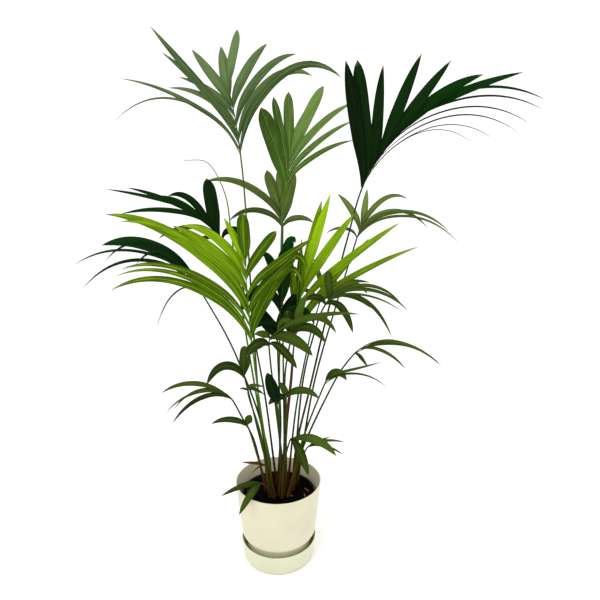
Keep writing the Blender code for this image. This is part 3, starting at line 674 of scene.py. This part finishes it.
def soften(piece, radius):
    """Rounds a moulded piece's edges and shades it smooth between the ones left."""
    apply_modifier(
        piece, "BEVEL", width=radius, segments=3, limit_method="ANGLE", angle_limit=radians(50)
    )
    select_only(piece)
    bpy.ops.object.shade_smooth_by_angle(angle=radians(35))


# ---------------------------------------------------------------- the plan's lines


def unit(vector):
    """The vector at length one."""
    return vector / np.linalg.norm(vector)


def smooth_route(points, count):
    """Evenly spaced points on a smooth curve through the points given."""
    given = np.asarray(points, float)
    ends = np.vstack([2 * given[0] - given[1], given, 2 * given[-1] - given[-2]])
    fine = []
    for before, start, stop, after in zip(ends, ends[1:], ends[2:], ends[3:]):
        for t in np.linspace(0, 1, 24, endpoint=False):
            straight = 2 * start + (stop - before) * t
            bend = (2 * before - 5 * start + 4 * stop - after) * t**2
            fine.append((straight + bend + (3 * start - before - 3 * stop + after) * t**3) / 2)
    fine = np.array(fine + [given[-1]])
    along = np.r_[0, np.cumsum(np.linalg.norm(np.diff(fine, axis=0), axis=1))]
    wanted = np.linspace(0, along[-1], count)
    return np.column_stack([np.interp(wanted, along, fine[:, axis]) for axis in range(3)])


def grown(points):
    """Planned points as places in the model, measured from the middle of the soil."""
    soil_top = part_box("soil")[1].z
    return np.asarray(points, float) + (0, 0, soil_top + ROOT_CLEARANCE)


def blade_axes(frond):
    """The blade's outward face, and its upright and rightward directions."""
    turn, tilt = radians(frond.turn), radians(frond.tilt)
    face = np.array([sin(turn) * cos(tilt), -cos(turn) * cos(tilt), sin(tilt)])
    upright = unit(np.array([0, 0, 1]) - face[2] * face)
    return face, upright, np.cross(upright, face)


def leaflet_line(root, start, leaflet, frond, steps):
    """A leaflet's middle line. It sets off along the rib, opens to its heading, then droops."""
    heading, length, droop = leaflet[:3]
    face, upright, right = blade_axes(frond)
    turn, lift = radians(heading), radians(frond.lift)
    aim = cos(lift) * (cos(turn) * upright + sin(turn) * right) + sin(lift) * face
    points = [root]
    late = 7 if HOOKED in leaflet[4:] else 1.5
    for step in range(steps):
        t = (step + 0.5) / steps
        opened = min(1, 3 * t)
        way = unit(start * 0.6 * (1 - opened) + aim * (0.4 + 0.6 * opened))
        way = unit(way - np.array([0, 0, droop * t**late]))
        points.append(points[-1] + way * length / steps)
    return np.array(points)


def leaflet_width(t, leaflet):
    """Narrow at the root, widest at the middle, then a taper that is late on broad leaflets."""
    opening = 0.22 + 0.78 * np.sin(np.minimum(1, 2.3 * t) * pi / 2)
    late = 12 if BLUNT in leaflet[4:] else 2.2 + leaflet[3] / 16
    return leaflet[3] * MM * opening * np.maximum((1 - t**late) ** 0.9, 0.02)


def along_line(line, places, values=None):
    """Points, or values stored for them, and directions at places from 0 to 1 along a line."""
    steps = np.asarray(places) * (len(line) - 1)
    index = range(len(line))
    ahead = np.gradient(line, axis=0)
    wanted = line if values is None else values
    points = np.column_stack([np.interp(steps, index, wanted[:, axis]) for axis in range(3)])
    ways = np.column_stack([np.interp(steps, index, ahead[:, axis]) for axis in range(3)])
    return points, ways / np.linalg.norm(ways, axis=1, keepdims=True)


# ---------------------------------------------------------------- leaves and stems


def vertices_of(mesh):
    """A mesh's vertices as rows of numbers."""
    found = np.empty(len(mesh.vertices) * 3)
    mesh.vertices.foreach_get("co", found)
    return found.reshape(-1, 3)


def placed_copy(blank, places):
    """A copy of a blank with its own mesh and its vertices placed."""
    copy = blank.copy()
    copy.data = blank.data.copy()
    copy.data.vertices.foreach_set("co", places.ravel())
    bpy.context.scene.collection.objects.link(copy)
    return copy


def mapped_copy(blank, places, leaf, tint):
    """A placed copy of a blank, with its leaf map and its share of painted light and random tone stored.
    """
    copy = placed_copy(blank, places)
    stored = copy.data.attributes.new("leaf", "FLOAT_VECTOR", "POINT")
    stored.data.foreach_set("vector", leaf.ravel())
    light_and_tone_layer = copy.data.attributes.new("tint", "FLOAT", "POINT")
    light_and_tone_layer.data.foreach_set("value", np.full(len(places), tint))
    return copy


def leaflet_blank():
    """A flat leaflet: a strip from -1 to 1 across and 0 to 1 along, with raised ribs."""
    deselect()
    bpy.ops.mesh.primitive_grid_add(x_subdivisions=8, y_subdivisions=22, size=2)
    blank = bpy.context.object
    bpy.ops.object.mode_set(mode="EDIT")
    bpy.ops.transform.resize(value=(1, 0.5, 1), center_override=(0, 0, 0))
    bpy.ops.transform.translate(value=(0, 0.5, 0))
    for place, height in ((0.0, 1.0), (0.5, 0.55)):
        bpy.ops.mesh.select_all(action="DESELECT")
        bpy.ops.object.mode_set(mode="OBJECT")
        for vertex in blank.data.vertices:
            vertex.select = abs(abs(vertex.co.x) - place) < 0.01
        bpy.ops.object.mode_set(mode="EDIT")
        bpy.ops.transform.translate(value=(0, 0, height))
    bpy.ops.object.mode_set(mode="OBJECT")
    return blank


def tube_blank(sides, steps):
    """A tube of radius one, from 0 to 1 along Z, closed at both ends."""
    deselect()
    bpy.ops.mesh.primitive_cylinder_add(vertices=sides, radius=1, depth=1, location=(0, 0, 0.5))
    blank = bpy.context.object
    bpy.ops.object.transform_apply(location=True)
    bpy.ops.object.mode_set(mode="EDIT")
    bpy.ops.mesh.select_mode(type="EDGE")
    bpy.ops.mesh.select_all(action="DESELECT")
    bpy.ops.object.mode_set(mode="OBJECT")
    for edge in blank.data.edges:
        low, high = (blank.data.vertices[i].co.z for i in edge.vertices)
        edge.select = abs(low - high) > 0.5
    bpy.ops.object.mode_set(mode="EDIT")
    bpy.ops.mesh.subdivide(number_cuts=steps - 1)
    bpy.ops.mesh.select_mode(type="VERT")
    bpy.ops.object.mode_set(mode="OBJECT")
    return blank


def laid_leaflet(blank, line, leaflet, frond, side, turn, tint):
    """A leaflet laid along its line, folded down from its midrib and twisted a little."""
    settings = bpy.context.scene.palm_leaves
    flat = vertices_of(blank.data)
    across, t, relief = flat.T
    blunt = BLUNT in leaflet[4:]
    points, ways = along_line(line, t)
    face = blade_axes(frond)[0]
    sideways = np.cross(face, ways)
    sideways /= np.linalg.norm(sideways, axis=1, keepdims=True)
    outward = np.cross(ways, sideways)
    roll = radians(frond.roll[side]) + settings.twist * (turn - 0.5) * 2 * t
    edgeways = np.cos(roll)[:, None] * sideways + np.sin(roll)[:, None] * outward
    normal = np.cos(roll)[:, None] * outward - np.sin(roll)[:, None] * sideways
    # Where the line bends in the blade's own plane, the half width stays inside the bend.
    bend = np.gradient(line, axis=0)
    bend = np.gradient(bend / np.linalg.norm(bend, axis=1, keepdims=True), axis=0)
    bend = along_line(line, t, bend)[0] * (len(line) - 1) / leaflet[1]
    tight = np.abs((bend * sideways).sum(axis=1))
    half = np.minimum(leaflet_width(t, leaflet) / 2, 0.85 / np.maximum(tight, 0.1))
    # The fold is deepest at the root and eases along the leaflet.
    fold = settings.fold * (1 + 1.4 * np.exp(-9 * t))
    # A broad leaflet has an uneven end.
    ragged = 0.0
    if blunt:
        ragged = 0.3 * half * (t > 0.97) * np.cos(across * 7 + turn * 9)
    spread = (across * np.cos(fold) * half)[:, None] * edgeways
    drop = (relief * 0.09 * half - np.abs(across) * np.sin(fold) * half)[:, None] * normal
    places = points + spread + drop + np.reshape(ragged, (-1, 1)) * ways
    length = leaflet[1]
    leaf = np.column_stack([across * half, t * length, t])
    return mapped_copy(blank, places, leaf, tint)


def laid_tube(blank, line, radii, tint, ridges=0.0, begin=0.0):
    """A tube laid along a line, with a radius at each of its points, and ridges along it."""
    flat = vertices_of(blank.data)
    x, y, t = flat.T
    points, ways = along_line(line, t)
    angle = np.arctan2(y, x)
    side = unit(np.cross(line[1] - line[0], (0.3, 1, 0)))
    sideways = side - ways * (ways @ side)[:, None]
    sideways /= np.linalg.norm(sideways, axis=1, keepdims=True)
    other = np.cross(ways, sideways)
    size = np.interp(t * (len(line) - 1), range(len(line)), radii) * np.hypot(x, y)
    size = size * (1 + ridges * np.cos(angle * 5 + 9 * t) + 0.6 * ridges * np.sin(angle * 8 - 23 * t))
    places = points + (np.cos(angle) * size)[:, None] * sideways
    places += (np.sin(angle) * size)[:, None] * other
    length = np.linalg.norm(np.diff(line, axis=0), axis=1).sum()
    leaf = np.column_stack([angle * size, begin + t * length, t])
    return mapped_copy(blank, places, leaf, tint)


def joined(parts):
    """One object of several."""
    select_only(*parts)
    if len(parts) > 1:
        bpy.ops.object.join()
    return parts[0]


def split_route(frond):
    """A frond's smooth line cut into the seedling's stem and what grows on from it."""
    line = smooth_route(grown(frond.stalk + frond.rib), 161)
    first = int((line[:, 2] - line[0, 2] < frond.culm).sum())
    return line[: first + 1], line[first:]


def frond_piece(frond, leaflet, tube, materials):
    """One frond: its stalk and rib as a tapering tube, and a leaflet for each in the plan."""
    chance = random.Random(frond.name)
    line = split_route(frond)[1]
    line[0] += unit(line[1] - line[0]) * 2 * GAP
    lowest = int(np.linalg.norm(line - grown(frond.stalk)[-1], axis=1).argmin())
    rib = line[lowest:]
    places = np.arange(len(line))
    thick = np.array((STALK_RADIUS, RIB_FOOT_SHARE * STALK_RADIUS, RIB_TIP_RADIUS))
    radii = np.interp(places, (0, lowest, len(line) - 1), thick)
    # A stalk that grows straight from the soil is thicker at its foot.
    if not frond.culm:
        above = line[:, 2] - line[0, 2]
        radii = radii * (1 + 0.4 * np.exp(-above / 0.05))
    stalk = laid_tube(tube, line, radii, 0.5, 0.06)
    blades = []
    for side, leaflets in enumerate((frond.left, frond.right)):
        for i, each in enumerate(leaflets):
            share = (i + 0.5 * side) / max(len(leaflets) - 0.5, 1)
            place = (0.02 + 0.94 * share**ROOT_BUNCHING) * (len(rib) - 1)
            near = min(int(place), len(rib) - 2)
            start = unit(rib[near + 1] - rib[near])
            root = rib[near] + (rib[near + 1] - rib[near]) * (place - near)
            middle = leaflet_line(root, start, each, frond, 24)
            # Painted light: leaflets higher on the rib get more of the lit colour, plus a random tone, and
            # a side the plant shades gets painted shade.
            tint = 0.25 * chance.random() + 0.75 * share - SHADED.get(frond.name, (0, 0))[side]
            blades.append(laid_leaflet(leaflet, middle, each, frond, side, chance.random(), max(tint, 0)))
    if blades:
        leaves = joined(blades)
        for slot in materials[1:]:
            leaves.data.materials.append(slot)
        thickness = bpy.context.scene.palm_leaves.thickness
        apply_modifier(leaves, "SOLIDIFY", thickness=thickness, offset=-1, material_offset=1)
        stalk.data.materials.append(materials[0])
        piece = joined([stalk, leaves])
    else:
        stalk.data.materials.append(materials[0])
        piece = stalk
    select_only(piece)
    bpy.ops.object.shade_smooth_by_angle(angle=radians(50))
    finish_piece(piece, "fine_" + frond.name, frond.name)
    return piece


# ---------------------------------------------------------------- operators


class PALM_OT_saucer(bpy.types.Operator):
    """Turns the deep saucer: a rounded foot, a leaning wall and a soft rim"""

    bl_idname = "palm.saucer"
    bl_label = "Saucer"

    def execute(self, context):
        pots = context.scene.palm_pots
        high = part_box("saucer")[1]
        corner, wall, floor, taper = 12 * MM, pots.saucer_wall, 4 * MM, 0.11
        foot = high.x - high.z * taper
        inner = corner - wall
        outline = arc((foot - corner, corner), corner, -90, 0, 8)
        outline += [(high.x, high.z), (high.x - wall, high.z)]
        outline += arc((foot - wall - inner, floor + inner), inner, 0, -90, 6)
        piece = turned_piece(outline, pots.sides)
        soften(piece, pots.rim_round)
        finish = moulded_material("moulded_pp_saucer", "#d2d4b8", "#cdcfb2", 0.45)
        finish_piece(piece, "turned_saucer", "saucer", [finish])
        return {"FINISHED"}


class PALM_OT_planter(bpy.types.Operator):
    """Turns the planter: a foot, a rounded lower edge and a tall leaning wall"""

    bl_idname = "palm.planter"
    bl_label = "Planter"

    def execute(self, context):
        pots = context.scene.palm_pots
        low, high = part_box("planter")
        wall, corner, rounding, taper = pots.planter_wall, 6 * MM, 30 * MM, 0.105
        foot_setback = 19 * MM
        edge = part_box("saucer")[1].z + 6 * MM
        middle = (high.x - (high.z - edge - rounding) * taper - rounding, edge + rounding)
        foot = middle[0] + rounding - foot_setback
        floor = low.z + 4.5 * MM
        turn_in = -degrees(acos((foot - middle[0]) / rounding))
        turn_inside = -degrees(acos((foot - wall - middle[0]) / (rounding - wall)))
        outline = arc((foot - corner, low.z + corner), corner, -90, 0, 5)
        outline += arc(middle, rounding, turn_in, 0, 16)
        outline += [(high.x, high.z), (high.x - wall, high.z)]
        outline += arc(middle, rounding - wall, turn_inside, 0, 16)[::-1]
        outline += arc((foot - wall - corner, floor + corner), corner, 0, -90, 5)
        piece = turned_piece(outline, pots.sides)
        soften(piece, pots.rim_round)
        finish = moulded_material("moulded_pp_planter", "#d5d0b6", "#d0cbb0", 0.45)
        finish_piece(piece, "turned_planter", "planter", [finish])
        return {"FINISHED"}


class PALM_OT_nursery_pot(bpy.types.Operator):
    """Finishes the growing pot, whose shape comes from the frame"""

    bl_idname = "palm.nursery_pot"
    bl_label = "Growing pot"

    def execute(self, context):
        finish = moulded_material("recycled_black_pp", "#101010", "#0a0a0a", 0.5)
        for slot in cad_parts["nursery_pot"].material_slots:
            slot.material = finish
        return {"FINISHED"}


class PALM_OT_soil(bpy.types.Operator):
    """Makes the root ball's soil, with loose crumbs and bark chips on it"""

    bl_idname = "palm.soil"
    bl_label = "Soil"

    def execute(self, context):
        settings = context.scene.palm_soil
        low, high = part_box("soil")
        radius = high.x
        edge = high.z - SOIL_CROWN
        foot = radius - POT_TAPER * (edge - low.z)
        piece = turned_piece([(foot, low.z), (radius, edge - 2 * MM)], 128)
        select_only(piece)
        bpy.ops.object.mode_set(mode="EDIT")
        bpy.ops.mesh.select_all(action="DESELECT")
        bpy.ops.object.mode_set(mode="OBJECT")
        for face in piece.data.polygons:
            face.select = face.normal.z > 0.9
        bpy.ops.object.mode_set(mode="EDIT")
        for _ in range(SOIL_RINGS):
            bpy.ops.mesh.inset(thickness=radius / (SOIL_RINGS + 1), depth=0)
        bpy.ops.object.mode_set(mode="OBJECT")
        places = vertices_of(piece.data)
        out = np.hypot(places[:, 0], places[:, 1])
        top = places[:, 2] > edge - 3 * MM
        chance = np.random.default_rng(11)
        waves = chance.uniform(-1, 1, (SOIL_WAVES, 2)) * STEEPEST_WAVE
        turns = chance.uniform(0, 2 * pi, SOIL_WAVES)
        rough = np.cos(places[:, :2] @ waves.T + turns).sum(axis=1) / SOIL_WAVES**0.5
        crown = (SOIL_CROWN - SOIL_SINK) * (1 - np.clip(out / radius, 0, 1) ** 2)
        lumps = 1.6 * MM * rough * np.clip((radius - out) / (6 * MM), 0, 1)
        places[:, 2] += top * (2 * MM + crown + np.clip(lumps, -4 * MM, 2 * MM) - SOIL_SINK)
        piece.data.vertices.foreach_set("co", places.ravel())
        select_only(piece)
        bpy.ops.object.shade_smooth_by_angle(angle=radians(60))
        finish = soil_material("moist_peat", "#030201", "#140b06")
        finish_piece(piece, "soil_ball", "soil", [finish])
        self.scatter(settings, radius, edge)
        return {"FINISHED"}

    def scatter(self, settings, radius, edge):
        """Spreads crumbs and chips over the soil, clear of the pot's wall."""
        chance = random.Random(5)
        deselect()
        bpy.ops.mesh.primitive_ico_sphere_add(subdivisions=1, radius=1)
        crumb = bpy.context.object
        deselect()
        bpy.ops.mesh.primitive_cube_add(size=2)
        chip = bpy.context.object
        apply_modifier(chip, "BEVEL", width=0.3, segments=1)
        finish = {
            crumb: [soil_material("peat_crumb", "#040201", "#1e1008"), "soil_crumbs", settings.crumbs],
            chip: [bark_material(), "bark_chips", settings.chips],
        }
        for blank, (material, name, count) in finish.items():
            flat = vertices_of(blank.data)
            copies = []
            for number in range(count):
                out = (radius - 5 * MM) * chance.random() ** 0.5
                turn = chance.uniform(0, 2 * pi)
                size = settings.crumb_size * chance.choice((0.3, 0.45, 0.6, 0.8))
                spans = ((0.6, 1.4), (0.6, 1.2), (0.5, 0.9))
                shape = np.array([chance.uniform(*span) for span in spans])
                if blank is chip:
                    size = chance.uniform(2.0, 3.6) * MM
                    shape = np.array([2.6, 0.8, 0.4])
                    # The first chip is a large one in front, on the right.
                    if number == 0:
                        out, turn, size = 0.052, radians(-38), 4.2 * MM
                lean = chance.uniform(0, 2 * pi)
                tip = chance.uniform(-0.5, 0.5)
                bent = flat * shape * size * (1 + 0.18 * np.sin(flat * 5 + number))
                x, y, z = bent.T
                x, z = x * cos(tip) - z * sin(tip), x * sin(tip) + z * cos(tip)
                places = np.column_stack([x * cos(lean) - y * sin(lean), x * sin(lean) + y * cos(lean), z])
                height = edge + (SOIL_CROWN - SOIL_SINK) * (1 - (out / radius) ** 2)
                places += (out * cos(turn), out * sin(turn), height + size * 0.1)
                copies.append(placed_copy(blank, places))
            piece = joined(copies)
            finish_piece(piece, name, None, [material])
            bpy.data.objects.remove(blank)


class PALM_OT_culms(bpy.types.Operator):
    """Wraps the seedlings' stems in ridged, fibrous leaf bases"""

    bl_idname = "palm.culms"
    bl_label = "Stems"

    def execute(self, context):
        tube = tube_blank(48, 60)
        brown = culm_material("fibrous_brown_stem", "#2a1408", "#6e4320", "#4a3a18")
        green = culm_material("fibrous_green_stem", "#1c2a0e", "#4c5c24", "#5a4422")
        for frond in FRONDS:
            if not frond.culm:
                continue
            name = frond.name.replace("frond", "culm")
            line = split_route(frond)[0]
            radii = np.linspace(CULM_RADIUS, STALK_RADIUS * 1.15, len(line))
            piece = laid_tube(tube, line, radii, 0.5, 0.07)
            select_only(piece)
            bpy.ops.object.shade_smooth_by_angle(angle=radians(50))
            finish_piece(piece, "fine_" + name, name, [brown if frond.tone == "bright" else green])
        bpy.data.objects.remove(tube)
        return {"FINISHED"}


class PALM_OT_fronds(bpy.types.Operator):
    """Grows the fronds: folded, veined leaflets laid along each rib"""

    bl_idname = "palm.fronds"
    bl_label = "Fronds"

    def execute(self, context):
        leaflet = leaflet_blank()
        tube = tube_blank(40, 72)
        finishes = {}
        for tone in LEAF_TONES:
            finishes[tone] = [stalk_material(tone), leaf_material(tone, False), leaf_material(tone, True)]
        for frond in FRONDS:
            frond_piece(frond, leaflet, tube, finishes[frond.tone])
        bpy.data.objects.remove(leaflet)
        bpy.data.objects.remove(tube)
        return {"FINISHED"}


class PALM_OT_stage(bpy.types.Operator):
    """Sets the floor, the light and the camera"""

    bl_idname = "palm.stage"
    bl_label = "Stage"

    def execute(self, context):
        stage = context.scene.palm_stage
        scene = context.scene
        deselect()
        bpy.ops.mesh.primitive_plane_add(size=60, location=(0, 0, 0))
        floor = context.object
        floor.name = "floor"
        paint, tree, shader = new_material("matt_pale_floor")
        pale = hex_colour("#fbfbfb")
        coat(tree, shader, {"Base Color": pale, "Roughness": 0.9, "Specular IOR Level": 0.1})
        floor.data.materials.append(paint)
        world = bpy.data.worlds.new("studio")
        scene.world = world
        world.use_nodes = True
        sky = world.node_tree.nodes["Background"]
        sky.inputs["Color"].default_value = (1, 1, 1, 1)
        sky.inputs["Strength"].default_value = stage.world_light
        lamps = (
            ("key", (-1.6, -2.2, 3.2), stage.key_light, 1.6),
            ("fill", (2.4, -1.6, 1.8), stage.fill_light, 2.0),
        )
        for name, place, power, size in lamps:
            light = bpy.data.lights.new(name, "AREA")
            light.energy = power
            light.size = size
            lamp = bpy.data.objects.new(name, light)
            scene.collection.objects.link(lamp)
            lamp.location = place
            aim = np.array((0, 0, 0.9)) - np.array(place)
            lamp.rotation_mode = "QUATERNION"
            lamp.rotation_quaternion = Vector(aim).to_track_quat("-Z", "Y")
        lens = bpy.data.cameras.new("camera")
        lens.lens = stage.lens
        lens.sensor_width = 36
        camera = bpy.data.objects.new("camera", lens)
        camera.location = stage.camera_place
        camera.rotation_euler = (pi / 2 - stage.camera_pitch, 0, 0)
        scene.collection.objects.link(camera)
        scene.camera = camera
        scene.view_settings.view_transform = "Standard"
        return {"FINISHED"}


class PALM_PT_panel(bpy.types.Panel):
    """Lists the palm's pieces"""

    bl_idname = "PALM_PT_panel"
    bl_label = "Potted palm"
    bl_space_type = "VIEW_3D"
    bl_region_type = "UI"
    bl_category = "Palm"

    def draw(self, context):
        for step in STEPS:
            self.layout.operator(step.bl_idname)
        for name in SETTINGS:
            group = getattr(context.scene, name)
            box = self.layout.box()
            for key in group.__annotations__:
                box.prop(group, key)


SETTINGS = {
    "palm_pots": PotSettings,
    "palm_soil": SoilSettings,
    "palm_leaves": LeafSettings,
    "palm_stage": StageSettings,
}
STEPS = (
    PALM_OT_saucer,
    PALM_OT_planter,
    PALM_OT_nursery_pot,
    PALM_OT_soil,
    PALM_OT_culms,
    PALM_OT_fronds,
    PALM_OT_stage,
)


def register():
    for each in (*SETTINGS.values(), *STEPS, PALM_PT_panel):
        bpy.utils.register_class(each)
    for name, group in SETTINGS.items():
        setattr(bpy.types.Scene, name, PointerProperty(type=group))


def unregister():
    for name in SETTINGS:
        delattr(bpy.types.Scene, name)
    for each in (PALM_PT_panel, *STEPS[::-1], *SETTINGS.values()):
        bpy.utils.unregister_class(each)


def main():
    """Makes every piece and the stage."""
    register()
    for step in STEPS:
        group, name = step.bl_idname.split(".")
        getattr(getattr(bpy.ops, group), name)()


if __name__ == "__main__":
    main()
